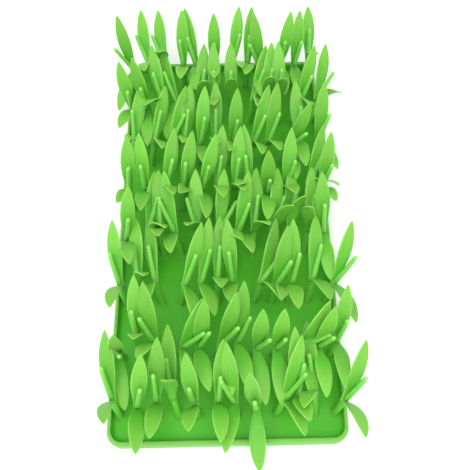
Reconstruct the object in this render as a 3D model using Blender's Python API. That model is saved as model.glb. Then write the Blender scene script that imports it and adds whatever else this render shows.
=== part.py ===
"""Snuffle mat: a rimmed rubber tray whose floor carries eight rows of twelve grass tufts.

Each tuft is a stem that forks into three strands: a tall leaf that leans back, a round
stamen, and a short leaf that arches forward. The tufts of a row are fused at their roots
to one narrow strip, which lies in a shallow groove of the tray's floor, flush with it.

Metres, +Z up. X runs across the mat and Y along it, from the first row to the last.
The origin is the middle of the tray's underside.
"""

import math

import bpy
import numpy as np

# The tray
TRAY_LENGTH = 0.300
TRAY_WIDTH = 0.150
TRAY_HEIGHT = 0.010
RIM_THICK = 0.0024
RIM_CHAMFER = 0.0007
CORNER_RADIUS = 0.0095
CORNER_STEPS = 5
FLOOR_THICK = 0.0024

# The rows of grass and the strips that they stand on
ROWS = 8
TUFTS = 12
ROW_PITCH = 0.03735
TUFT_PITCH = 0.0124
STRIP_LENGTH = 0.1438
STRIP_WIDTH = 0.0096
STRIP_THICK = 0.0010
SEAT_GAP = 0.0003

# The collar round each stem's foot, as octagons: a low ring with a groove inside it
COLLAR_RADIUS = 0.0034
COLLAR_TOP_RADIUS = 0.0030
COLLAR_HEIGHT = 0.0011
STEM_FOOT_RADIUS = 0.0023
STEM_FOOT_HEIGHT = 0.0009

# The fork at the stem's top, where three strands start side by side, front to back
FORK_BACK = 0.0038
FORK_HEIGHT = 0.0225
FORK_TILT = 10.0
FORK_WIDTH = 0.0040
FORK_EDGES = (-0.0020, -0.0008, 0.0008, 0.0020)

# How far a stem leans sideways at most, so that it clears the rim, and how much more the strands
# bend at the fork for each degree past that
STEM_SWAY = 14.0
FORK_BEND = 1.5

# The strands: the lean from upright at root and tip (degrees, back is positive) and length. A
# short leaf leans forward by its tuft's droop, and curls by SHORT_CURL from root to tip.
TALL_LEANS = (31.0, 55.0)
TALL_LENGTH = 0.0430
STAMEN_LEANS = (22.0, 30.0)
STAMEN_LENGTH = 0.0245
SHORT_CURL = 50.0
SHORT_LENGTH = 0.0355

# Sections of each strand: share of the length, width and thickness
TALL_SECTIONS = (
    # share, width, thickness
    (0.18, 0.0046, 0.0016),
    (0.50, 0.0098, 0.0013),
    (0.80, 0.0070, 0.0011),
)
SHORT_SECTIONS = (
    # share, width, thickness
    (0.20, 0.0062, 0.0015),
    (0.46, 0.0098, 0.0012),
    (0.78, 0.0066, 0.0010),
)
STAMEN_SECTIONS = (
    # share, width, thickness
    (1.00, 0.0026, 0.0024),
)

# How each tuft stands, in degrees. A line is a row, from the front one, and a column is a
# tuft, from the left. SWAY leans it to the right, NOD leans it back, and SPREAD leans its
# stamen further to the right. TURN swings its short leaf to the right, and DROOP is how far
# that leaf leans forward.
SWAY = (
    # 1    2    3    4    5    6    7    8    9   10   11   12
    (-10, 8, 5, -5, -4, 5, -6, -5, 12, -2, -11, 15),
    (6, -1, -7, 17, 6, 13, 6, 3, 3, 25, 7, 5),
    (-11, -7, -16, 22, 13, 5, -6, 24, 12, 1, 3, 16),
    (4, 15, 5, -17, -3, 11, 15, 3, 14, 5, 1, -3),
    (4, -4, 16, 10, 16, 11, 7, -8, -1, 9, 22, 6),
    (12, 18, 8, 10, 7, 1, -3, 17, 10, 16, -2, 7),
    (-24, -14, -9, 2, 7, 0, 1, 24, 17, 5, 15, 17),
    (3, -11, -12, -3, -10, -1, 9, 5, -6, 10, 5, 0),
)
NOD = (
    # 1    2    3    4    5    6    7    8    9   10   11   12
    (11, -9, 8, 16, -7, 3, -2, -20, 2, 10, 19, -5),
    (-42, 6, -1, -13, -15, -10, -2, -23, -24, -11, -21, -7),
    (7, 31, 21, 3, 12, 19, 7, 15, -3, 4, 18, 2),
    (-11, 28, 8, 16, 18, 16, -1, 13, 22, 3, 25, -11),
    (-9, -12, -4, -5, -14, 12, 2, 7, -23, 2, 2, -7),
    (7, 17, -5, 17, -3, 11, -8, -13, 2, -17, 18, -7),
    (36, 2, -3, 0, 14, 4, 3, 14, 3, 9, -17, 12),
    (-16, 32, 26, -7, -1, -10, 3, -2, -14, -10, -14, 13),
)
SPREAD = (
    # 1    2    3    4    5    6    7    8    9   10   11   12
    (-6, 0, -4, 4, 0, -10, -14, 2, 6, 17, 6, 8),
    (0, -4, -10, -4, 16, 10, 12, 14, 6, 4, 8, 4),
    (-6, 0, 6, -4, 4, 0, 0, 20, 7, 10, 8, 16),
    (2, 10, 7, -10, -20, 19, 4, 6, 16, 14, 8, 3),
    (0, -4, 2, -6, -4, 0, -2, 15, 0, 2, 4, -12),
    (-5, -4, 0, -6, 2, 0, 5, -12, 20, 3, 10, 16),
    (-5, -1, -6, 8, 2, 0, 0, -2, 6, 4, 2, 18),
    (-19, -10, -20, -6, 0, 0, 4, -2, -12, -4, 6, 0),
)
TURN = (
    # 1    2    3    4    5    6    7    8    9   10   11   12
    (18, 0, 6, -5, 9, -3, -8, 0, -3, 9, 25, -9),
    (10, 0, -5, 0, 15, 28, 9, 9, 8, 16, 0, -6),
    (9, -5, 21, -9, 6, -3, 3, -3, -17, 0, 9, 6),
    (12, 10, -20, 25, -6, 40, 3, 9, 10, 9, 1, 18),
    (-21, 15, 32, -6, -3, 0, -4, -20, 15, 23, 16, 22),
    (-15, -24, -30, -15, 3, -6, 10, -5, -18, 11, 27, 17),
    (-4, -15, 11, -30, 0, 24, 0, -24, 17, 10, -15, 0),
    (-2, 13, 0, -24, -4, -6, 10, -12, 0, 20, 0, 0),
)
DROOP = (
    # 1    2    3    4    5    6    7    8    9   10   11   12
    (45, 40, 43, 25, 22, 45, 55, 100, 45, 40, 100, 40),
    (40, 19, 14, 75, 40, 60, 65, 80, 100, 100, 40, 50),
    (55, 51, 75, 65, 70, 50, 45, 50, 42, 50, 64, 65),
    (35, 47, 34, 94, 41, 56, 50, 46, 42, 100, 8, 38),
    (25, 40, 100, 95, 50, 8, 36, 37, 19, 17, 75, 48),
    (56, 57, 50, 55, 50, 22, 100, 56, 36, 85, 100, 69),
    (100, 32, 100, 75, 29, 86, 12, 65, 34, 8, 25, 42),
    (82, 95, 55, 52, 82, 99, 72, 50, 100, 85, 60, 55),
)

GREEN = (0.13, 0.55, 0.06, 1.0)
TRAY_GREEN = (0.10, 0.46, 0.05, 1.0)


def clear_scene():
    """Removes whatever objects the file starts with."""
    for obj in list(bpy.data.objects):
        bpy.data.objects.remove(obj, do_unlink=True)


def rubber(name, colour):
    """Soft moulded silicone rubber."""
    material = bpy.data.materials.new(name)
    material.use_nodes = True
    shader = material.node_tree.nodes["Principled BSDF"]
    shader.inputs["Base Color"].default_value = colour
    shader.inputs["Roughness"].default_value = 0.45
    shader.inputs["Metallic"].default_value = 0.0
    return material


def add_object(name, points, faces, material):
    """One mesh object made of the given points and faces."""
    mesh = bpy.data.meshes.new(name)
    mesh.from_pydata([tuple(map(float, p)) for p in points], [], faces)
    mesh.materials.append(material)
    mesh.update()
    obj = bpy.data.objects.new(name, mesh)
    bpy.context.scene.collection.objects.link(obj)
    return obj


def rounded_rectangle(inset):
    """The tray's outline, moved inwards by inset: four quarter circles joined by straight sides."""
    radius = CORNER_RADIUS - inset
    across = TRAY_WIDTH / 2 - CORNER_RADIUS
    along = TRAY_LENGTH / 2 - CORNER_RADIUS
    points = []
    for quarter, (sx, sy) in enumerate(((1, 1), (-1, 1), (-1, -1), (1, -1))):
        for step in range(CORNER_STEPS + 1):
            angle = math.pi / 2 * (quarter + step / CORNER_STEPS)
            points.append((sx * across + radius * math.cos(angle), sy * along + radius * math.sin(angle)))
    return points


def tray_shell(material):
    """The tray: one profile of floor, rim and outer wall carried round the rounded rectangle."""
    profile = (
        # inset, height
        (0.0, 0.0),
        (0.0, TRAY_HEIGHT - RIM_CHAMFER),
        (RIM_CHAMFER, TRAY_HEIGHT),
        (RIM_THICK - RIM_CHAMFER, TRAY_HEIGHT),
        (RIM_THICK, TRAY_HEIGHT - RIM_CHAMFER),
        (RIM_THICK, FLOOR_THICK),
    )
    points = [(x, y, z) for inset, z in profile for x, y in rounded_rectangle(inset)]
    ring = len(points) // len(profile)
    faces = [tuple(reversed(range(ring)))]
    for level in range(len(profile) - 1):
        low, high = level * ring, (level + 1) * ring
        for i in range(ring):
            j = (i + 1) % ring
            faces.append((low + i, low + j, high + j, high + i))
    faces.append(tuple(range(len(points) - ring, len(points))))
    return add_object("tray", points, faces, material)


def box_points(centre, size):
    """The eight corners of a box, lower four first."""
    cx, cy, cz = centre
    sx, sy, sz = (s / 2 for s in size)
    corners = ((-1, -1), (1, -1), (1, 1), (-1, 1))
    return [(cx + sx * a, cy + sy * b, cz + sz * c) for c in (-1, 1) for a, b in corners]


BOX_FACES = ((3, 2, 1, 0), (4, 5, 6, 7), (0, 1, 5, 4), (1, 2, 6, 5), (2, 3, 7, 6), (3, 0, 4, 7))


def cut_grooves(tray, material):
    """Cuts one groove for each strip into the tray's floor, a seat gap wider and deeper than the strip."""
    depth = STRIP_THICK + SEAT_GAP
    above = 0.002
    size = (STRIP_LENGTH + 2 * SEAT_GAP, STRIP_WIDTH + 2 * SEAT_GAP, depth + above)
    points = []
    faces = []
    for row in range(ROWS):
        centre = (0.0, row_place(row), FLOOR_THICK - depth + size[2] / 2)
        first = len(points)
        points += box_points(centre, size)
        faces += [tuple(first + i for i in face) for face in BOX_FACES]
    cutter = add_object("groove_cutter", points, faces, material)
    cutter.hide_render = True
    cutter.display_type = "WIRE"
    cut = tray.modifiers.new("grooves", "BOOLEAN")
    cut.operation = "DIFFERENCE"
    cut.solver = "EXACT"
    cut.object = cutter


def row_place(row):
    """Y of a row's middle."""
    return (row - (ROWS - 1) / 2) * ROW_PITCH


def tuft_place(tuft):
    """X of a tuft's middle."""
    return (tuft - (TUFTS - 1) / 2) * TUFT_PITCH


def lean_right(points, degrees):
    """Turns points about the Y axis, the top towards +X."""
    angle = math.radians(degrees)
    x, y, z = points.T
    leant = (x * math.cos(angle) + z * math.sin(angle), y, z * math.cos(angle) - x * math.sin(angle))
    return np.stack(leant, axis=1)


def stand(points, sway, nod, turn=0.0, spread=0.0):
    """Turns points about the tuft's foot: first round the upright, then backwards, then to the right.
    The stem sways no further than STEM_SWAY, and past that the strands bend more at the fork. A
    spread bends a strand further to the right there."""
    n, t = math.radians(nod), math.radians(turn)
    x, y, z = points.T
    x, y = x * math.cos(t) - y * math.sin(t), x * math.sin(t) + y * math.cos(t)
    x, y, z = np.vstack((np.stack((x, y, z), axis=1), (0.0, FORK_BACK, FORK_HEIGHT))).T
    y, z = y * math.cos(n) + z * math.sin(n), z * math.cos(n) - y * math.sin(n)
    stem_sway = max(-STEM_SWAY, min(STEM_SWAY, sway))
    turned = lean_right(np.stack((x, y, z), axis=1), stem_sway)
    fork = turned[-1]
    return lean_right(turned[:-1] - fork, FORK_BEND * (sway - stem_sway) + spread) + fork


def octagon(radius, height):
    """Eight points of a ring, anticlockwise from its front right."""
    angles = np.radians(-67.5 + 45.0 * np.arange(8))
    return np.stack((radius * np.cos(angles), radius * np.sin(angles), np.full(8, height)), axis=1)


def fork_ring():
    """The stem's top as eight points, in the octagon's order: right side front to back, then left."""
    tilt = math.radians(FORK_TILT)
    right = [(FORK_WIDTH / 2, FORK_BACK + e * math.cos(tilt), FORK_HEIGHT - e * math.sin(tilt)) for e in FORK_EDGES]
    left = [(-x, y, z) for x, y, z in reversed(right)]
    return np.array(right + left)


def bent_path(shares, edge, leans, length):
    """A strand's middle line: an arc that starts halfway between two of the fork's edges and whose
    lean changes evenly from root to tip. Gives each station's back and height from the foot, and
    its lean in radians."""
    first, last = (math.radians(a) for a in leans)
    lean = first + (last - first) * np.asarray(shares, float)
    radius = length / (last - first)
    root = (FORK_EDGES[edge] + FORK_EDGES[edge + 1]) / 2
    back = FORK_BACK + root + radius * (math.cos(first) - np.cos(lean))
    height = FORK_HEIGHT + radius * (np.sin(lean) - math.sin(first))
    return back, height, lean


def strand_sections(sections, edge, leans, length):
    """Four corners at each station of a flat strand: front right, back right, back left, front left.
    A corner lies half the width to the side and half the thickness off the middle line."""
    share, width, thick = np.array(sections).T
    back, height, lean = bent_path(share, edge, leans, length)
    corners = []
    for side, face in ((1, 1), (1, -1), (-1, -1), (-1, 1)):
        x = side * width / 2
        y = back - face * thick / 2 * np.cos(lean)
        z = height + face * thick / 2 * np.sin(lean)
        corners.append(np.stack((x, y, z), axis=1))
    return np.stack(corners, axis=1)


def strand_tip(edge, leans, length):
    """The end of a strand's middle line."""
    back, height, _ = bent_path([1.0], edge, leans, length)
    return np.array([(0.0, back[0], height[0])])


def bridge(lower, upper):
    """Faces between two rings of as many points, outward when both run anticlockwise."""
    count = len(lower)
    return [(lower[i], lower[(i + 1) % count], upper[(i + 1) % count], upper[i]) for i in range(count)]


def add_points(points, new):
    """Adds points to the list and gives their numbers."""
    first = len(points)
    points.extend(map(tuple, new))
    return list(range(first, len(points)))


def tuft_strands(sway, nod, spread, turn, droop):
    """The three strands of a tuft, front to back."""
    short_leans = (SHORT_CURL / 2 - droop, -SHORT_CURL / 2 - droop)
    return (
        # first of the fork's edges, sections, leans, length, pointed, how it stands
        (0, SHORT_SECTIONS, short_leans, SHORT_LENGTH, True, (sway, nod, turn, 0.0)),
        (1, STAMEN_SECTIONS, STAMEN_LEANS, STAMEN_LENGTH, False, (sway, nod, 0.0, spread)),
        (2, TALL_SECTIONS, TALL_LEANS, TALL_LENGTH, True, (sway, nod, 0.0, 0.0)),
    )


def add_strand(points, faces, fork, strand, place):
    """Carries a strand from its two edges of the fork through its sections, to a point or a flat end."""
    edge, sections, leans, length, pointed, pose = strand
    ring = [fork[edge], fork[edge + 1], fork[6 - edge], fork[7 - edge]]
    for section in strand_sections(sections, edge, leans, length):
        upper = add_points(points, stand(section, *pose) + place)
        faces += bridge(ring, upper)
        ring = upper
    if pointed:
        tip = add_points(points, stand(strand_tip(edge, leans, length), *pose) + place)[0]
        faces += [(ring[i], ring[(i + 1) % 4], tip) for i in range(4)]
    else:
        faces.append(tuple(ring))


def add_tuft(points, faces, place, angles):
    """One tuft on its collar. Gives the numbers of the collar's outer octagon."""
    sway, nod = angles[:2]
    rim = add_points(points, octagon(COLLAR_RADIUS, 0.0) + place)
    top = add_points(points, octagon(COLLAR_TOP_RADIUS, COLLAR_HEIGHT) + place)
    foot = add_points(points, octagon(STEM_FOOT_RADIUS, STEM_FOOT_HEIGHT) + place)
    fork = add_points(points, stand(fork_ring(), sway, nod) + place)
    for lower, upper in ((rim, top), (top, foot), (foot, fork)):
        faces += bridge(lower, upper)
    for strand in tuft_strands(*angles):
        add_strand(points, faces, fork, strand, place)
    return rim


def grass_row(row, material):
    """One row: a strip cut into a cell for each tuft, with the tufts' collars standing on it."""
    y = row_place(row)
    bounds = [(tuft - TUFTS / 2) * TUFT_PITCH for tuft in range(TUFTS + 1)]
    bounds[0], bounds[-1] = -STRIP_LENGTH / 2, STRIP_LENGTH / 2
    bottom = FLOOR_THICK - STRIP_THICK
    points = []
    faces = []
    edges = []
    for x in bounds:
        corners = [(x, y + side * STRIP_WIDTH / 2, z) for z in (FLOOR_THICK, bottom) for side in (-1, 1)]
        edges.append(add_points(points, corners))
    for tuft in range(TUFTS):
        place = np.array((tuft_place(tuft), y, FLOOR_THICK))
        angles = [table[row][tuft] for table in (SWAY, NOD, SPREAD, TURN, DROOP)]
        ring = add_tuft(points, faces, place, angles)
        front_left, back_left, low_front_left, low_back_left = edges[tuft]
        front_right, back_right, low_front_right, low_back_right = edges[tuft + 1]
        faces += [
            (ring[1], front_right, back_right, ring[2]),
            (ring[3], back_right, back_left, ring[4]),
            (ring[5], back_left, front_left, ring[6]),
            (ring[7], front_left, front_right, ring[0]),
            (ring[0], front_right, ring[1]),
            (ring[2], back_right, ring[3]),
            (ring[4], back_left, ring[5]),
            (ring[6], front_left, ring[7]),
            (front_left, low_front_left, low_front_right, front_right),
            (back_right, low_back_right, low_back_left, back_left),
            (low_front_left, low_back_left, low_back_right, low_front_right),
        ]
    front, back, low_front, low_back = edges[0]
    faces.append((back, low_back, low_front, front))
    front, back, low_front, low_back = edges[-1]
    faces.append((front, low_front, low_back, back))
    return add_object(f"grass_row_{row + 1}", points, faces, material)


def main():
    clear_scene()
    tray_rubber = rubber("tray_rubber", TRAY_GREEN)
    grass_rubber = rubber("grass_rubber", GREEN)
    tray = tray_shell(tray_rubber)
    cut_grooves(tray, tray_rubber)
    for row in range(ROWS):
        grass_row(row, grass_rubber)


main()
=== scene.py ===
"""Snuffle mat: the finished look of a moulded silicone mat, a rimmed tray with rows of tufts.

Sizes are in millimetres in the tables and named values below, and are turned to metres by MM,
apart from the stage's, which are in metres. Angles are in degrees.
X runs across the mat, Y along it from the first row to the last, and Z up.
"""

import math
import bpy
import numpy as np
from bpy.props import FloatProperty, FloatVectorProperty, PointerProperty, StringProperty
from mathutils import Matrix, Vector


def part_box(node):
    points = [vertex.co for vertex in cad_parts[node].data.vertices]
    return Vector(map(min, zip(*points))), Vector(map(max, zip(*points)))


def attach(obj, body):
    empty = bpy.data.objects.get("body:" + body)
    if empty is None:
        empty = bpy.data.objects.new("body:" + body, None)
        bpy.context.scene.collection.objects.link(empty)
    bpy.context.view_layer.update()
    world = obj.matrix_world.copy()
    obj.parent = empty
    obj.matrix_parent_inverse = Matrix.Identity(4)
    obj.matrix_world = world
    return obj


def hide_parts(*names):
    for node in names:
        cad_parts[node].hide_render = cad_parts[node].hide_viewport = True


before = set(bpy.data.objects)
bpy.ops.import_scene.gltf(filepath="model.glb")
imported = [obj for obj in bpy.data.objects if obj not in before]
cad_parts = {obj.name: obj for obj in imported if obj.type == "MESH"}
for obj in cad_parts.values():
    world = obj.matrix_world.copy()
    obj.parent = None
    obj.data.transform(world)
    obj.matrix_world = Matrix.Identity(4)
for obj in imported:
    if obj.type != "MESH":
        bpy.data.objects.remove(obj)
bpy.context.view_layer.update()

bl_info = {
    "name": "Snuffle Mat",
    "version": (1, 0, 0),
    "blender": (4, 5, 0),
    "location": "3D View > Sidebar > Snuffle Mat",
    "description": "Builds a moulded silicone snuffle mat with its grass tufts, a floor, lights "
    "and a camera",
    "category": "Add Mesh",
}

MM = 0.001

# The frame's own sizes
TRAY_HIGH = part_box("tray")[1]
ROW_NODES = sorted(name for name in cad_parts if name.startswith("grass_row_"))

# Rows and tufts
TUFTS = 12
ROW_PITCH = 37.35
TUFT_PITCH = 12.4
FLOOR_THICK = 2.4

# The fork at a stem's top. A stem takes a share of its strands' nod and sway, up to a limit.
FORK_BACK = 3.8
FORK_HEIGHT = 22.5
STEM_SHARE = 0.4
STEM_LIMIT = 14.0

# The power of the height by which a stem's middle line bends back
STEM_BEND = 1.2

# Each strand: how far its root lies behind the fork, its lean from upright at root and tip, with
# back positive, and its length. A short leaf's lean follows its droop, and changes by its curl.
TALL = {"root": 1.4, "leans": (31.0, 55.0), "length": 43.0}
STAMEN = {"root": 0.0, "leans": (22.0, 30.0), "length": 24.5}
SHORT = {"root": -1.4, "length": 35.5, "curl": 50.0}

# Leaf forms: widths at the neck and at the widest place, where that is along the leaf, its
# thickness, how far its edges rise off its middle, and the two powers that round off its tip
TALL_FORM = {
    "neck": 4.6,
    "width": 9.8,
    "widest": 0.52,
    "thick": 1.15,
    "dish": 0.5,
    "fall": 2.1,
    "blunt": 0.88,
}
SHORT_FORM = {
    "neck": 4.6,
    "width": 9.8,
    "widest": 0.46,
    "thick": 1.1,
    "dish": -0.5,
    "fall": 2.2,
    "blunt": 0.72,
}

# The power of the wave by which a leaf widens, and its thickness along it: more at the neck by a
# share, which fades over another share of its length, and less at the tip by a share
LEAF_WIDENING = 0.85
NECK_THICKER = 0.7
NECK_SHARE = 0.3
TIP_THINNER = 0.35

# Where a leaf's sections lie along it, root to tip
LEAF_STATIONS = (
    -0.05, 0.0, 0.07, 0.15, 0.24, 0.34, 0.44, 0.54,
    0.64, 0.73, 0.82, 0.89, 0.94, 0.972, 0.99, 0.998,
)

# A leaf's section, anticlockwise from its right edge seen from the tip: share of the half width,
# and share of half the thickness, positive on the front
LEAF_SECTION = (
    # across, thick
    (1.00, 0.00),
    (0.93, -0.80),
    (0.55, -1.00),
    (0.00, -1.00),
    (-0.55, -1.00),
    (-0.93, -0.80),
    (-1.00, 0.00),
    (-0.93, 0.80),
    (-0.55, 1.00),
    (0.00, 1.00),
    (0.55, 1.00),
    (0.93, 0.80),
)

# A stamen's radius along it, with its round end
STAMEN_SECTIONS = (
    # share, radius
    (-0.08, 1.85),
    (0.20, 1.75),
    (0.60, 1.58),
    (0.88, 1.48),
    (0.945, 1.36),
    (0.985, 0.95),
    (1.00, 0.35),
)

# A stem's radius up it, from inside the floor to its rounded top
STEM_SECTIONS = (
    # share of the fork's height, radius
    (-0.05, 2.45),
    (0.03, 2.40),
    (0.15, 2.25),
    (0.60, 2.20),
    (0.90, 2.35),
    (1.02, 2.20),
    (1.08, 1.40),
)

# The collar round a stem's foot: a low ring, then a groove, then the foot's own flare
COLLAR_PROFILE = (
    # radius, height over the floor, paleness, which paints a highlight on the ring's top and the
    # foot's flare
    (3.95, -0.60, 0.0),
    (3.90, 0.10, 0.5),
    (3.75, 0.75, 1.0),
    (3.50, 0.95, 1.0),
    (3.30, 0.70, 1.0),
    (3.22, -0.30, 0.0),
    (2.90, -0.30, 0.0),
    (2.82, 0.60, 0.8),
    (2.70, 1.10, 1.0),
    (2.45, 1.30, 0.5),
    (2.25, 1.80, 0.0),
    (1.60, 1.90, 0.0),
)

# The tray's section, from the middle of its underside round the wall to the middle of its floor.
# The wall is thicker at the ends than along the sides by the second column.
TRAY_PROFILE = (
    # inset from the outer wall, more of it at the ends, height, paleness, which paints a highlight
    # on the rim and the outer wall
    (6.0, 0.0, 0.0, 0.0),
    (0.9, 0.0, 0.0, 0.3),
    (0.3, 0.0, 0.15, 0.5),
    (0.0, 0.0, 0.6, 0.6),
    (0.0, 0.0, 8.6, 0.8),
    (0.12, 0.0, 9.4, 0.9),
    (0.4, 0.1, 9.85, 1.0),
    (0.8, 0.3, 10.0, 1.0),
    (1.7, 0.6, 10.0, 1.0),
    (2.0, 0.8, 9.9, 1.0),
    (2.3, 0.8, 9.5, 1.0),
    (2.4, 0.8, 9.0, 0.4),
    (2.5, 0.8, 4.0, 0.0),
    (2.8, 0.8, 2.9, 0.0),
    (3.6, 0.8, 2.4, 0.0),
    (4.6, 0.8, 2.4, 0.0),
)

# The tray's corners: their outer radius, and the steps in which each is turned
CORNER_RADIUS = 9.5
CORNER_STEPS = 12

# Numbers of sides of the stems and stamens, and of the collars
TUBE_SIDES = 12
COLLAR_SIDES = 24

# How each tuft stands. A line is a row, from the front one, and a column is a tuft, from the
# left. SWAY leans its strands to the right and NOD leans them back, and SPREAD leans its stamen
# further to the right. TURN swings its short leaf to the right, and DROOP is how far that leaf
# leans forward before the nod.
SWAY = (
    # 1    2    3    4    5    6    7    8    9   10   11   12
    (-9, 10, 5, -14, -5, 7, -8, -6, 22, -3, -16, 19),
    (6, -1, -9, 22, 8, 17, 8, 4, 4, 22, 9, 7),
    (-9, -12, -23, 28, 18, 8, -7, 36, 13, 2, 14, 22),
    (9, 22, -5, -20, -2, 15, 18, 11, 18, 12, 15, -4),
    (5, -1, 15, 14, 18, 10, 9, -6, -1, 5, 29, 6),
    (16, 29, 30, 15, 9, 3, 6, 22, 14, 20, -3, 7),
    (-5, -9, -15, -30, 10, 0, 1, 30, 13, -1, 17, 26),
    (-11, -17, -16, 2, -13, 1, 12, 7, -8, 11, 4, 2),
)
NOD = (
    # 1    2    3    4    5    6    7    8    9   10   11   12
    (16, -12, 4, 29, -12, 0, -3, -27, 4, 15, 33, -3),
    (-46, 9, -1, -18, -20, -14, -3, -29, -29, -22, -28, -10),
    (14, 31, 33, 9, 19, 26, 11, 20, -4, 6, 26, 4),
    (-16, 31, 26, 18, 24, 22, 8, 27, 27, 30, 26, 0),
    (-13, -10, 2, -6, -12, 7, 0, 6, -34, -6, 13, -14),
    (19, 20, 12, 18, -5, 16, -12, 0, 4, -30, 20, -1),
    (-31, -26, 7, 16, 16, 7, 5, 16, 14, 9, -7, 20),
    (-20, 19, 22, -11, -2, -20, 4, -3, -20, -18, -18, 20),
)
SPREAD = (
    # 1    2    3    4    5    6    7    8    9   10   11   12
    (-6, 2, -5, 0, 0, -2, -14, 2, 16, 14, 2, 10),
    (6, -4, -12, 16, 11, 12, 13, 14, 6, 22, 9, 4),
    (-6, 2, 6, -3, 5, 0, 0, 22, 12, 11, 9, 18),
    (2, 8, 6, -13, -23, 37, 6, 2, 16, 4, 3, 2),
    (2, 0, 2, -6, -3, 0, 0, 0, 2, 9, 4, 7),
    (-17, -7, 6, -2, 3, 0, 3, 2, 9, 12, 10, 14),
    (6, 4, -2, 2, 3, 0, 0, -2, 3, 6, 4, 28),
    (-18, -15, -20, -5, -2, 0, 5, -2, -13, -3, 7, 0),
)
TURN = (
    # 1    2    3    4    5    6    7    8    9   10   11   12
    (18, 0, -6, 0, 9, -3, -8, 0, -3, 12, -3, -9),
    (11, 0, -5, 6, 15, 8, 9, 9, 3, 4, 0, -6),
    (9, 0, 21, -3, 6, -3, 3, -3, -24, 0, 0, 6),
    (12, 0, 12, 10, -3, 20, 3, 6, 0, 12, -6, 3),
    (-21, 0, 3, -30, -3, 0, 6, -20, -9, 6, 6, 9),
    (-21, -9, -8, -15, 3, 0, -24, -12, 0, 0, 6, 18),
    (-16, 3, -6, -9, 0, 0, 0, -24, 0, 0, -15, 0),
    (-25, 15, 0, -3, 6, 0, 0, -12, 0, 0, 0, 0),
)
DROOP = (
    # 1    2    3    4    5    6    7    8    9   10   11   12
    (47, 41, 45, 24, 18, 45, 55, 78, 45, 46, 55, 40),
    (58, 20, 27, 50, 41, 55, 65, 58, 58, 55, 42, 50),
    (56, 44, 76, 66, 73, 52, 48, 58, 30, 51, 67, 66),
    (33, 50, 56, 65, 42, 56, 52, 46, 24, 16, 26, 86),
    (28, 39, 36, 29, 48, 47, 31, 34, 24, 29, 40, 28),
    (52, 59, 42, 53, 49, 52, 28, 45, 45, 39, 86, 65),
    (26, 60, 44, 100, 28, 47, 13, 64, 22, 19, 34, 48),
    (85, 70, 49, 42, 69, 31, 47, 49, 57, 57, 56, 54),
)

# Short leaves that also lean to the right of their tuft, by row, tuft and angle
SWUNG = (
    (1, 4, 13),
    (2, 2, 6),
    (3, 2, 26),
    (3, 8, -10),
    (4, 2, 5),
    (4, 4, 8),
    (4, 5, -4),
    (4, 11, -20),
    (5, 2, 4),
    (7, 2, 14),
    (7, 9, -8),
    (7, 10, 3),
    (8, 3, 15),
    (8, 7, 4),
)

# The seed from which the strands' uneven tones are drawn
TONE_SEED = 12

# How pale a stamen is along it, and where its paler end, a painted highlight, begins
STAMEN_PALENESS = 0.62
STAMEN_END = 0.9

# The order of a row's materials, and the tray's only one
LEAF_SLOT, STEM_SLOT, COLLAR_SLOT = range(3)
TRAY_SLOT = 0

# Colours that stay the same when the settings change: of stems and stamens, where they drift
# darker, where they drift paler and on their ends as a painted highlight, and of the painted
# highlight on the collars' rings
STEM_COLOURS = ("#60B83A", "#6CC044", "#92D266")
COLLAR_HIGHLIGHT = "#74C04C"

# Silicone rubber's finish: roughness on leaves and on stems, how much light passes into it, and
# how far in, as shares for red, green and blue of a depth
LEAF_ROUGHNESS = 0.42
STEM_ROUGHNESS = 0.4
SILICONE_FINISH = {
    "Metallic": 0.0,
    "IOR": 1.41,
    "Specular IOR Level": 0.3,
    "Subsurface Weight": 0.6,
    "Subsurface Radius": (0.3, 1.0, 0.2),
    "Subsurface Scale": 1.6 * MM,
}

# Where a leaf's colour ends its change along it from the painted shade at its root, and where its
# pale edge, a painted highlight, begins and is whole, as shares of its length and of its half
# width, and how pale the edge gets
LEAF_BLEND_END = 0.9
LEAF_EDGE = (0.84, 0.97)
LEAF_EDGE_SHARE = 0.75

# How much darker and lighter a leaf gets with its tone, and with its fine lines
TONE_RANGE = (0.93, 1.07)
LINE_RANGE = (0.95, 1.05)

# A leaf's fine lines, by how often they vary across, along and from strand to strand, and the
# plain rubber's slow drift of colour and its moulded grain, by size
LINES = {"scale": (9.0, 0.8, 40.0), "detail": 2.0, "strength": 0.25, "depth": 0.08}
DRIFT = {"size": 35.0, "detail": 1.0}
GRAIN = {"size": 0.6, "detail": 2.0, "strength": 0.2, "depth": 0.03}

# The part of a noise's values that is used, and the paleness at which plain rubber begins to
# turn paler towards its painted highlight and at which it is palest
NOISE_RANGE = (0.3, 0.7)
PALE_RANGE = (0.4, 1.0)

# Studio paper's finish
PAPER_FINISH = {"Roughness": 0.9, "Specular IOR Level": 0.2}

# A colour mix node's inputs by number, and its colour output
MIX_SHARE, MIX_FIRST, MIX_SECOND = 0, 6, 7
MIX_COLOUR = 2

# The stage: half the floor's side, and each soft light's name, setting, side and place, in metres
FLOOR_HALF = 3.0
SOFTBOXES = (
    # name, setting of its power, side, place
    ("overhead_softbox", "key", 0.9, (-0.06, -0.24, 0.9)),
    ("front_softbox", "fill", 1.2, (0.1, -1.6, 0.7)),
)

# The camera: where it looks on the tray's underside, how far away it is, its height angle, turn
# and roll, its lens and the width of its film, and the nearest that it sees, this one in metres
CAMERA_TARGET = (7.27, -3.29)
CAMERA_DISTANCE = 435.4
CAMERA_HEIGHT = 64.58
CAMERA_TURN = 0.64
CAMERA_ROLL = 0.57
CAMERA_LENS = 45.54
CAMERA_FILM = 36.0
CAMERA_NEAR = 0.01


# Arrays and meshes


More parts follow.
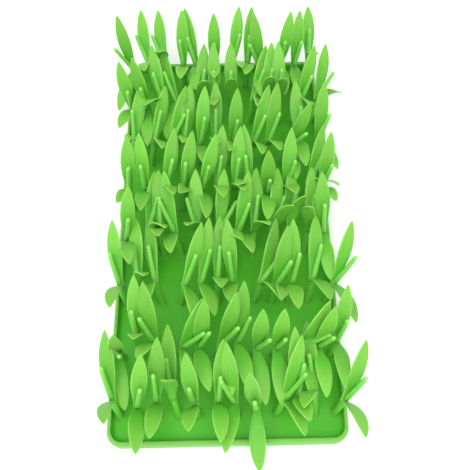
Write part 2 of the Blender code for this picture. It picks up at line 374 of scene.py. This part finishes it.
def closed_tubes(rings):
    """Tubes from rings laid out as tube, station, point and axis. Each ring is joined to the next
    by quads, and the first and last rings are closed by flat caps. Rings run anticlockwise seen
    from the tube's far end. Gives points and faces."""
    tubes, stations, sides, _ = rings.shape
    number = np.arange(tubes * stations * sides).reshape(tubes, stations, sides)
    lower = number[:, :-1]
    upper = number[:, 1:]
    quads = np.stack((lower, np.roll(lower, -1, 2), np.roll(upper, -1, 2), upper), axis=-1)
    caps = np.concatenate((number[:, 0, ::-1], number[:, -1]))
    return rings.reshape(-1, 3), quads.reshape(-1, 4).tolist() + caps.tolist()


def strand_values(shape, across, along, tone):
    """The strand coordinate of each point of an array of rings, whose shape leaves out the axis:
    across, along (or how pale it is) and tone."""
    values = (np.broadcast_to(value, shape) for value in (across, along, tone))
    return np.stack(tuple(values), axis=-1).reshape(-1, 3)


def build_mesh(name, parts, materials):
    """One smooth mesh object made of several parts. A part is its points in millimetres, its
    faces, the number of its material and its points' strand coordinates."""
    points = np.concatenate([part[0] for part in parts]) * MM
    strands = np.concatenate([part[3] for part in parts]).astype(np.float32)
    faces = []
    slots = []
    first = 0
    for part_points, part_faces, slot, _ in parts:
        faces += [[first + i for i in face] for face in part_faces]
        slots += [slot] * len(part_faces)
        first += len(part_points)
    mesh = bpy.data.meshes.new(name)
    mesh.from_pydata(points, [], faces)
    for material in materials:
        mesh.materials.append(material)
    mesh.polygons.foreach_set("material_index", slots)
    mesh.polygons.foreach_set("use_smooth", [True] * len(faces))
    strand = mesh.attributes.new("strand", "FLOAT_VECTOR", "POINT")
    strand.data.foreach_set("vector", strands.ravel())
    mesh.update()
    obj = bpy.data.objects.new(name, mesh)
    bpy.context.scene.collection.objects.link(obj)
    return obj


# Tufts


def per_tuft(angles):
    """One angle for all tufts or one for each, laid out to go with their points."""
    return np.reshape(np.broadcast_to(angles, TUFTS), (-1, 1, 1))


def lean_right(points, degrees):
    """Points turned about the Y axis, the top towards +X: x cos + z sin, and z cos - x sin."""
    angle = np.radians(degrees)
    x, y, z = np.moveaxis(points, -1, 0)
    right = x * np.cos(angle) + z * np.sin(angle)
    return np.stack((right, y, z * np.cos(angle) - x * np.sin(angle)), axis=-1)


def lean_back(points, degrees):
    """Points turned about the X axis, the top towards +Y: y cos + z sin, and z cos - y sin."""
    angle = np.radians(degrees)
    x, y, z = np.moveaxis(points, -1, 0)
    back = y * np.cos(angle) + z * np.sin(angle)
    return np.stack((x, back, z * np.cos(angle) - y * np.sin(angle)), axis=-1)


def turn_round(points, degrees):
    """Points turned about the Z axis, anticlockwise seen from above: x cos - y sin, and
    x sin + y cos."""
    angle = np.radians(degrees)
    x, y, z = np.moveaxis(points, -1, 0)
    right = x * np.cos(angle) - y * np.sin(angle)
    return np.stack((right, x * np.sin(angle) + y * np.cos(angle), z), axis=-1)


def stand_stems(points, pose):
    """Points of each tuft's stem leaned about its foot by the stem's share of the sway and nod."""
    shares = (STEM_SHARE * per_tuft(angles) for angles in pose)
    sway, nod = (np.clip(share, -STEM_LIMIT, STEM_LIMIT) for share in shares)
    return lean_right(lean_back(points, nod), sway)


def stand_strands(points, pose, turn, spread):
    """Points of each tuft's strands turned about the fork, first round the upright, then by the
    whole nod, the whole sway and their spread, and carried to where the stem takes the fork."""
    sway, nod, turn, spread = (per_tuft(angles) for angles in (*pose, turn, spread))
    fork = np.broadcast_to((0.0, FORK_BACK, FORK_HEIGHT), (TUFTS, 1, 1, 3))
    leaned = lean_back(turn_round(points, turn) - fork, nod)
    return lean_right(leaned, sway + spread) + stand_stems(fork, pose)


def place_tufts(points, row):
    """Points of each tuft moved from its foot to its place in the row."""
    x = (np.arange(TUFTS) - (TUFTS - 1) / 2) * TUFT_PITCH
    y = (row - (len(ROW_NODES) - 1) / 2) * ROW_PITCH
    place = np.stack((x, np.full(TUFTS, y), np.full(TUFTS, FLOOR_THICK)), axis=-1)
    return points + place[:, None, None, :]


def middle_line(share, strand, leans):
    """A strand's middle line for each tuft, an arc whose lean goes evenly from root to tip: with
    R = length over the change of lean, it is back by R (cos first - cos lean) and up by
    R (sin lean - sin first)."""
    first, last = (np.radians(np.broadcast_to(angle, TUFTS))[:, None] for angle in leans)
    lean = first + (last - first) * share
    radius = strand["length"] / (last - first)
    back = FORK_BACK + strand["root"] + radius * (np.cos(first) - np.cos(lean))
    height = FORK_HEIGHT + radius * (np.sin(lean) - np.sin(first))
    return back[:, :, None], height[:, :, None], lean[:, :, None]


def half_width(share, form):
    """Half a leaf's width: a half wave to a power from the neck to the widest place, then one
    less a power of the way to the tip, itself to a power that makes the tip blunt."""
    widest = form["widest"]
    rise = np.clip(share / widest, 0.0, 1.0)
    fall = np.clip((share - widest) / (1.0 - widest), 0.0, 1.0)
    wave = (0.5 - 0.5 * np.cos(math.pi * rise)) ** LEAF_WIDENING
    lower = form["neck"] + (form["width"] - form["neck"]) * wave
    upper = form["width"] * (1.0 - fall ** form["fall"]) ** form["blunt"]
    return 0.5 * np.where(share < widest, lower, upper)


def leaves(row, strand, form, leans, pose, turn, spread, tone):
    """The leaves of one kind in a row. Across, a section is a flat loop with round edges whose
    sides rise by the dish times the square of the share across. Along, it follows the middle
    line, and is thicker at the neck and thinner at the tip."""
    share = np.array(LEAF_STATIONS)
    across, thick = np.array(LEAF_SECTION).T
    back, height, lean = middle_line(share, strand, leans)
    half = half_width(share, form)[:, None]
    neck = NECK_THICKER * np.clip(1.0 - share / NECK_SHARE, 0.0, 1.0)
    body = form["thick"] * (1.0 + neck - TIP_THINNER * np.clip(share, 0.0, 1.0) ** 3)
    dish = form["dish"] * across**2 * np.minimum(half / (form["width"] / 2), 1.0)
    lift = thick * body[:, None] / 2 + dish
    x = np.broadcast_to(across * half, (TUFTS, *lift.shape))
    rings = np.stack((x, back - lift * np.cos(lean), height + lift * np.sin(lean)), axis=-1)
    points, faces = closed_tubes(place_tufts(stand_strands(rings, pose, turn, spread), row))
    values = strand_values(x.shape, across, share[:, None], per_tuft(tone))
    return points, faces, LEAF_SLOT, values


def round_loop(radius, sides):
    """Round sections, one for each radius, anticlockwise: radius cos and radius sin of angles
    evenly round the circle."""
    angle = 2 * math.pi * np.arange(sides) / sides
    return radius[:, None] * np.cos(angle), radius[:, None] * np.sin(angle)


def stamens(row, pose, spread, tone):
    """The stamens of a row: round tapering rods along their middle lines, with a round end."""
    share, radius = np.array(STAMEN_SECTIONS).T
    back, height, lean = middle_line(share, STAMEN, STAMEN["leans"])
    across, off = round_loop(radius, TUBE_SIDES)
    x = np.broadcast_to(across, (TUFTS, *across.shape))
    rings = np.stack((x, back + off * np.cos(lean), height - off * np.sin(lean)), axis=-1)
    points, faces = closed_tubes(place_tufts(stand_strands(rings, pose, 0.0, spread), row))
    # The paler round end is a painted highlight.
    end = np.clip((share - STAMEN_END) / (1.0 - STAMEN_END), 0.0, 1.0)
    paleness = STAMEN_PALENESS + (1.0 - STAMEN_PALENESS) * end
    values = strand_values(x.shape, 0.0, paleness[:, None], per_tuft(tone))
    return points, faces, STEM_SLOT, values


def stems(row, pose, tone):
    """The stems of a row: round posts whose middle line goes back from the foot to the fork by
    the share of the height to a power."""
    share, radius = np.array(STEM_SECTIONS).T
    x, off = round_loop(radius, TUBE_SIDES)
    y = (FORK_BACK * np.sign(share) * np.abs(share) ** STEM_BEND)[:, None] + off
    z = np.broadcast_to(FORK_HEIGHT * share[:, None], x.shape)
    rings = np.broadcast_to(np.stack((x, y, z), axis=-1), (TUFTS, *x.shape, 3))
    points, faces = closed_tubes(place_tufts(stand_stems(rings, pose), row))
    return points, faces, STEM_SLOT, strand_values(rings.shape[:-1], 0.0, 0.0, per_tuft(tone))


def collars(row):
    """The collars of a row: one profile turned round the upright through each foot."""
    radius, height, paleness = np.array(COLLAR_PROFILE).T
    x, y = round_loop(radius, COLLAR_SIDES)
    z = np.broadcast_to(height[:, None], x.shape)
    rings = np.broadcast_to(np.stack((x, y, z), axis=-1), (TUFTS, *x.shape, 3))
    points, faces = closed_tubes(place_tufts(rings, row))
    # The paleness paints a highlight on the ring's top and round the foot's flare.
    values = strand_values(rings.shape[:-1], 0.0, paleness[:, None], 0.0)
    return points, faces, COLLAR_SLOT, values


def swings(row):
    """How far each tuft's short leaf in a row also leans to the right."""
    angles = np.zeros(TUFTS)
    for line, column, angle in SWUNG:
        if line == row + 1:
            angles[column - 1] = angle
    return angles


def tray():
    """The tray's profile carried round a rounded rectangle: at an inset, its straight sides move
    in by the inset and its corner arcs keep their centres while their radius shrinks by it."""
    inset, extra, height, paleness = (column[:, None] for column in np.array(TRAY_PROFILE).T)
    quarter = np.repeat(np.arange(4), CORNER_STEPS + 1)
    angle = math.pi / 2 * (quarter + np.tile(np.arange(CORNER_STEPS + 1) / CORNER_STEPS, 4))
    side = np.array(((1, 1), (-1, 1), (-1, -1), (1, -1)))[quarter]
    half = np.array((TRAY_HIGH.x, TRAY_HIGH.y)) / MM - CORNER_RADIUS
    radius = CORNER_RADIUS - inset
    x = side[:, 0] * half[0] + radius * np.cos(angle)
    y = side[:, 1] * (half[1] - extra) + radius * np.sin(angle)
    z = np.broadcast_to(height, x.shape)
    points, faces = closed_tubes(np.stack((x, y, z), axis=-1)[None])
    # The paleness paints a highlight on the rim and the outer wall.
    return points, faces, TRAY_SLOT, strand_values(x.shape, 0.0, paleness, 0.0)


# Materials


def linear(hex_colour):
    """An sRGB hex colour as linear red, green, blue and alpha."""
    channels = np.array([int(hex_colour[i : i + 2], 16) for i in (1, 3, 5)]) / 255
    low, high = channels / 12.92, ((channels + 0.055) / 1.055) ** 2.4
    return (*np.where(channels <= 0.04045, low, high).tolist(), 1.0)


def add_node(tree, kind, settings=None, inputs=None):
    """Adds a node, sets its properties, and sets or links its inputs."""
    node = tree.nodes.new(kind)
    for key, value in (settings or {}).items():
        setattr(node, key, value)
    for key, value in (inputs or {}).items():
        if isinstance(value, bpy.types.NodeSocket):
            tree.links.new(value, node.inputs[key])
        else:
            node.inputs[key].default_value = value
    return node


def remap(tree, value, source, target=(0.0, 1.0), kind="LINEAR"):
    """A value carried from one range to another, held at its ends."""
    (low, high), (to_low, to_high) = source, target
    inputs = {"Value": value, "From Min": low, "From Max": high}
    inputs.update({"To Min": to_low, "To Max": to_high})
    node = add_node(tree, "ShaderNodeMapRange", {"interpolation_type": kind}, inputs)
    return node.outputs[0]


def blend(tree, share, first, second):
    """The colour that lies at a share of the way from the first colour to the second."""
    inputs = {MIX_SHARE: share, MIX_FIRST: first, MIX_SECOND: second}
    return add_node(tree, "ShaderNodeMix", {"data_type": "RGBA"}, inputs).outputs[MIX_COLOUR]


def noise(tree, vector, scale, detail):
    """The value of a noise pattern."""
    inputs = {"Vector": vector, "Scale": scale, "Detail": detail}
    return add_node(tree, "ShaderNodeTexNoise", inputs=inputs).outputs[0]


def strand_coordinate(tree):
    """The strand coordinate as a vector, and its three parts: across, along (or how pale) and
    tone."""
    strand = add_node(tree, "ShaderNodeAttribute", {"attribute_name": "strand"})
    vector = strand.outputs["Vector"]
    parts = add_node(tree, "ShaderNodeSeparateXYZ", inputs={0: vector})
    return vector, *parts.outputs


def new_material(name):
    """A new material with its node tree and shader."""
    material = bpy.data.materials.new(name)
    material.use_nodes = True
    return material, material.node_tree, material.node_tree.nodes["Principled BSDF"]


def silicone(name, roughness):
    """A new material with the shader of soft moulded silicone rubber: satin, and clear enough for
    light to pass a millimetre or two into it, which brightens thin leaves and their edges."""
    material, tree, shader = new_material(name)
    for key, value in {"Roughness": roughness, **SILICONE_FINISH}.items():
        shader.inputs[key].default_value = value
    return material, tree, shader


def finish_rubber(tree, shader, colour, height, relief):
    """Gives rubber its colour, and the relief of its lines or grain."""
    tree.links.new(colour, shader.inputs["Base Color"])
    inputs = {"Strength": relief["strength"], "Distance": relief["depth"] * MM, "Height": height}
    bump = add_node(tree, "ShaderNodeBump", inputs=inputs)
    tree.links.new(bump.outputs[0], shader.inputs["Normal"])


def grass_silicone(name, root, tip, edge):
    """Moulded silicone of a leaf: darker at the root than at the tip as painted shade low in the
    tuft, with a pale edge as a painted highlight, and fine lines left along it by the mould's
    cutter."""
    material, tree, shader = silicone(name, LEAF_ROUGHNESS)
    vector, across, along, tone = strand_coordinate(tree)
    # The darker root is painted shade low in the tuft.
    share = remap(tree, along, (0.0, LEAF_BLEND_END), kind="SMOOTHSTEP")
    body = blend(tree, share, linear(root), linear(tip))
    # The pale edge is a painted highlight along the leaf's round edges.
    side = add_node(tree, "ShaderNodeMath", {"operation": "ABSOLUTE"}, {0: across}).outputs[0]
    rim_highlight = remap(tree, side, LEAF_EDGE, (0.0, LEAF_EDGE_SHARE), "SMOOTHSTEP")
    edge_highlighted = blend(tree, rim_highlight, body, linear(edge))
    inputs = {"Vector": vector, "Scale": LINES["scale"]}
    place = add_node(tree, "ShaderNodeMapping", inputs=inputs).outputs[0]
    lines = noise(tree, place, 1.0, LINES["detail"])
    brightness = remap(tree, tone, (-1.0, 1.0), TONE_RANGE)
    streak = remap(tree, lines, NOISE_RANGE, LINE_RANGE)
    inputs = {0: brightness, 1: streak}
    value = add_node(tree, "ShaderNodeMath", {"operation": "MULTIPLY"}, inputs).outputs[0]
    inputs = {"Value": value, "Color": edge_highlighted}
    colour = add_node(tree, "ShaderNodeHueSaturation", inputs=inputs).outputs[0]
    finish_rubber(tree, shader, colour, lines, LINES)
    return material


def plain_silicone(name, low, high, highlight_colour, roughness):
    """Moulded silicone of the tray, collars, stems and stamens: one colour that drifts a little
    over a few centimetres, paler where a painted highlight lies on the tray's rim, the collars'
    rings and the stamens' ends, with the faint satin grain of a blasted mould."""
    material, tree, shader = silicone(name, roughness)
    place = add_node(tree, "ShaderNodeTexCoord").outputs["Object"]
    drift = noise(tree, place, 1 / (DRIFT["size"] * MM), DRIFT["detail"])
    body = blend(tree, remap(tree, drift, NOISE_RANGE), linear(low), linear(high))
    # The paleness mixes in the painted highlight colour.
    _, _, paleness, _ = strand_coordinate(tree)
    end = remap(tree, paleness, PALE_RANGE, kind="SMOOTHSTEP")
    colour = blend(tree, end, body, linear(highlight_colour))
    grain = noise(tree, place, 1 / (GRAIN["size"] * MM), GRAIN["detail"])
    finish_rubber(tree, shader, colour, grain, GRAIN)
    return material


def paper(name, colour):
    """Matt white studio paper for the floor."""
    material, _, shader = new_material(name)
    for key, value in {"Base Color": colour, **PAPER_FINISH}.items():
        shader.inputs[key].default_value = value
    return material


# Settings


class MatTraySettings(bpy.types.PropertyGroup):
    """What a user would change on the tray."""

    low: StringProperty(
        name="Deep colour",
        description="Tray colour where it drifts darker, as sRGB hex",
        default="#48B01E",
    )
    high: StringProperty(
        name="Pale colour",
        description="Tray colour where it drifts paler, as sRGB hex",
        default="#5CBA2C",
    )
    # The rim colour is a painted highlight on the rim and the outer wall.
    rim_highlight: StringProperty(
        name="Rim colour",
        description="Tray colour on its thin rim, as sRGB hex",
        default="#78B452",
    )
    roughness: FloatProperty(
        name="Roughness", description="How satin the tray is", default=0.45, min=0.0, max=1.0
    )


class MatGrassSettings(bpy.types.PropertyGroup):
    """What a user would change on the grass."""

    # The root colour is darker than the tip as painted shade low in the tuft.
    root: StringProperty(
        name="Root colour", description="Leaf colour at its root, as sRGB hex", default="#54AC30"
    )
    tip: StringProperty(
        name="Tip colour",
        description="Leaf colour towards its tip, as sRGB hex",
        default="#74B642",
    )
    # The edge colour is a painted highlight along the leaf's edges.
    edge: StringProperty(
        name="Edge colour",
        description="Leaf colour along its edge, as sRGB hex",
        default="#9ACE6A",
    )
    unevenness: FloatProperty(
        name="Unevenness",
        description="How much the tone differs between leaves",
        default=1.0,
        min=0.0,
        max=1.0,
    )


class MatStageSettings(bpy.types.PropertyGroup):
    """What a user would change on the stage."""

    floor_colour: FloatVectorProperty(
        name="Floor colour",
        description="Colour of the floor",
        subtype="COLOR",
        size=4,
        default=(0.93, 0.93, 0.93, 1.0),
    )
    sky: FloatProperty(
        name="Sky strength",
        description="Strength of the even light from all round",
        default=0.85,
        min=0.0,
    )
    key: FloatProperty(
        name="Key power",
        description="Power of the soft light overhead",
        default=8.2,
        unit="POWER",
        min=0.0,
    )
    fill: FloatProperty(
        name="Fill power",
        description="Power of the soft light in front",
        default=5.0,
        unit="POWER",
        min=0.0,
    )


# Operators


class MAT_OT_tray(bpy.types.Operator):
    """Builds the rimmed silicone tray"""

    bl_idname = "snuffle_mat.tray"
    bl_label = "Build Tray"

    def execute(self, context):
        settings = context.scene.snuffle_mat_tray
        # The rim colour paints a highlight on the tray's rim and outer wall.
        material = plain_silicone(
            "moulded_silicone_tray", settings.low, settings.high, settings.rim_highlight, settings.roughness
        )
        piece = build_mesh("silicone_tray", [tray()], [material])
        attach(piece, "root")
        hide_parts("tray")
        return {"FINISHED"}


class MAT_OT_grass(bpy.types.Operator):
    """Builds the rows of silicone grass tufts"""

    bl_idname = "snuffle_mat.grass"
    bl_label = "Build Grass"

    def execute(self, context):
        settings = context.scene.snuffle_mat_grass
        base = context.scene.snuffle_mat_tray
        leaf = grass_silicone("moulded_silicone_leaf", settings.root, settings.tip, settings.edge)
        # The stamens' paler ends and the collars' paler rings are painted highlights.
        stem = plain_silicone("moulded_silicone_stem", *STEM_COLOURS, STEM_ROUGHNESS)
        collar = plain_silicone(
            "moulded_silicone_collar", base.low, base.high, COLLAR_HIGHLIGHT, base.roughness
        )
        generator = np.random.default_rng(TONE_SEED)
        for row, node in enumerate(ROW_NODES):
            pose = (SWAY[row], NOD[row])
            tones = generator.uniform(-1.0, 1.0, (3, TUFTS)) * settings.unevenness
            droop = np.array(DROOP[row])
            short_leans = (SHORT["curl"] / 2 - droop, -SHORT["curl"] / 2 - droop)
            turn = TURN[row]
            parts = [
                leaves(row, TALL, TALL_FORM, TALL["leans"], pose, 0.0, 0.0, tones[0]),
                leaves(row, SHORT, SHORT_FORM, short_leans, pose, turn, swings(row), tones[1]),
                stamens(row, pose, SPREAD[row], tones[2]),
                stems(row, pose, tones[2]),
                collars(row),
            ]
            piece = build_mesh(f"silicone_{node}", parts, [leaf, stem, collar])
            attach(piece, "root")
            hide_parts(node)
        return {"FINISHED"}


class MAT_OT_stage(bpy.types.Operator):
    """Builds the floor, the lights and the camera"""

    bl_idname = "snuffle_mat.stage"
    bl_label = "Build Stage"

    def execute(self, context):
        settings = context.scene.snuffle_mat_stage
        corners = FLOOR_HALF * np.array(((-1, -1, 0), (1, -1, 0), (1, 1, 0), (-1, 1, 0)))
        mesh = bpy.data.meshes.new("studio_floor")
        mesh.from_pydata(corners, [], [(0, 1, 2, 3)])
        mesh.materials.append(paper("studio_paper", settings.floor_colour))
        floor = bpy.data.objects.new("studio_floor", mesh)
        context.scene.collection.objects.link(floor)

        context.scene.view_settings.view_transform = "Standard"
        world = bpy.data.worlds.new("studio")
        context.scene.world = world
        world.use_nodes = True
        sky = world.node_tree.nodes["Background"]
        sky.inputs["Color"].default_value = (1.0, 1.0, 1.0, 1.0)
        sky.inputs["Strength"].default_value = settings.sky

        for name, power, side, place in SOFTBOXES:
            lamp = bpy.data.lights.new(name, "AREA")
            lamp.energy = getattr(settings, power)
            lamp.size = side
            light = bpy.data.objects.new(name, lamp)
            light.location = place
            light.rotation_euler = (-light.location).to_track_quat("-Z", "Y").to_euler()
            context.scene.collection.objects.link(light)

        context.scene.camera = make_camera(context.scene)
        return {"FINISHED"}


def make_camera(scene):
    """The camera: it looks down by CAMERA_HEIGHT at the target, turned and rolled a little."""
    height, turn, roll = (math.radians(a) for a in (CAMERA_HEIGHT, CAMERA_TURN, CAMERA_ROLL))
    ahead = Vector((0.0, math.cos(height), -math.sin(height)))
    up = Vector((0.0, math.sin(height), math.cos(height)))
    right = Vector((1.0, 0.0, 0.0))
    rolled_right = right * math.cos(roll) - up * math.sin(roll)
    rolled_up = right * math.sin(roll) + up * math.cos(roll)
    place = Vector((*CAMERA_TARGET, 0.0)) - ahead * CAMERA_DISTANCE
    pose = Matrix((rolled_right, rolled_up, -ahead)).transposed().to_4x4()
    pose.translation = place * MM
    data = bpy.data.cameras.new("camera")
    data.lens = CAMERA_LENS
    data.sensor_width = CAMERA_FILM
    data.clip_start = CAMERA_NEAR
    camera = bpy.data.objects.new("camera", data)
    camera.matrix_world = Matrix.Rotation(-turn, 4, "Z") @ pose
    scene.collection.objects.link(camera)
    return camera


class MAT_PT_panel(bpy.types.Panel):
    """Lists the mat's settings and builders in the sidebar"""

    bl_label = "Snuffle Mat"
    bl_idname = "MAT_PT_panel"
    bl_space_type = "VIEW_3D"
    bl_region_type = "UI"
    bl_category = "Snuffle Mat"

    def draw(self, context):
        scene = context.scene
        sections = (
            ("snuffle_mat_tray", MAT_OT_tray),
            ("snuffle_mat_grass", MAT_OT_grass),
            ("snuffle_mat_stage", MAT_OT_stage),
        )
        for name, operator in sections:
            box = self.layout.box()
            settings = getattr(scene, name)
            for key in type(settings).__annotations__:
                box.prop(settings, key)
            box.operator(operator.bl_idname)


CLASSES = (
    MatTraySettings,
    MatGrassSettings,
    MatStageSettings,
    MAT_OT_tray,
    MAT_OT_grass,
    MAT_OT_stage,
    MAT_PT_panel,
)


def register():
    """Registers the classes and hangs the settings on the scene."""
    for item in CLASSES:
        bpy.utils.register_class(item)
    bpy.types.Scene.snuffle_mat_tray = PointerProperty(type=MatTraySettings)
    bpy.types.Scene.snuffle_mat_grass = PointerProperty(type=MatGrassSettings)
    bpy.types.Scene.snuffle_mat_stage = PointerProperty(type=MatStageSettings)


def unregister():
    """Takes the settings and the classes away."""
    del bpy.types.Scene.snuffle_mat_tray
    del bpy.types.Scene.snuffle_mat_grass
    del bpy.types.Scene.snuffle_mat_stage
    for item in reversed(CLASSES):
        bpy.utils.unregister_class(item)


def main():
    """Builds everything."""
    register()
    bpy.ops.snuffle_mat.tray()
    bpy.ops.snuffle_mat.grass()
    bpy.ops.snuffle_mat.stage()


if __name__ == "__main__":
    main()
